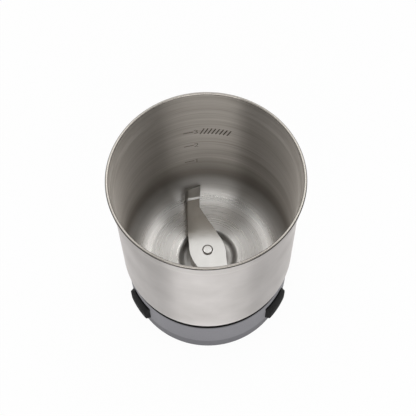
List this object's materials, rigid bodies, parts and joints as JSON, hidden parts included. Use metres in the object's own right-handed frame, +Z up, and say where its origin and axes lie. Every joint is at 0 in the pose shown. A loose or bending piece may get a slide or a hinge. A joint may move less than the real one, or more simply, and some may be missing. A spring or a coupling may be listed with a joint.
{
  "type": "spice grinder cup",
  "caption": "Removable stainless grinding cup with a curled rim, a turned-up S-shaped blade on a sealed spindle, a moulded base ring with bayonet lugs and a dog coupling underneath.",
  "frame": {"origin": "centre of the base ring's underside, on the spindle's axis", "axes": "+Z up along the spindle's axis through the open mouth, -Y towards the front with a lug on either side of it and the third lug on +Y"},
  "size_m": [0.086, 0.086, 0.1057],
  "materials": {
    "cup_steel": "deep-drawn stainless sheet, satin outside, spin-brushed floor inside",
    "blade_steel": "polished stainless",
    "screw_steel": "bright zinc-plated steel",
    "cast_aluminium": "turned die casting",
    "sintered_bronze": "sintered, oil-filled",
    "grey_plastic": "moulded, fine satin grain",
    "black_nylon": "moulded glass-filled nylon, matt",
    "black_rubber": "moulded rubber, matt"
  },
  "bodies": {
    "cup_unit": {"grinding_cup": "cup_steel", "seat_gasket": "black_rubber", "support_frame": "black_nylon", "base_skirt": "grey_plastic", "bayonet_lug_left": "black_nylon", "bayonet_lug_right": "black_nylon", "bayonet_lug_rear": "black_nylon", "base_screws": "screw_steel", "bearing_housing": "cast_aluminium", "housing_gasket": "black_rubber", "housing_washer": "screw_steel", "housing_nut": "screw_steel", "lower_bush": "sintered_bronze", "upper_bush": "sintered_bronze", "shaft_seal": "black_rubber", "seal_cap": "blade_steel"},
    "spindle": {"spindle": "blade_steel", "blade": "blade_steel", "blade_spacer": "blade_steel", "thrust_washer": "screw_steel", "circlip": "screw_steel", "drive_coupling": "black_nylon", "coupling_screw": "screw_steel"}
  },
  "joints": [
    {"name": "blade_spin", "type": "hinge", "parent": "cup_unit", "child": "spindle", "pos_m": [0, 0, 0], "axis": [0, 0, 1], "continuous": true}
  ]
}
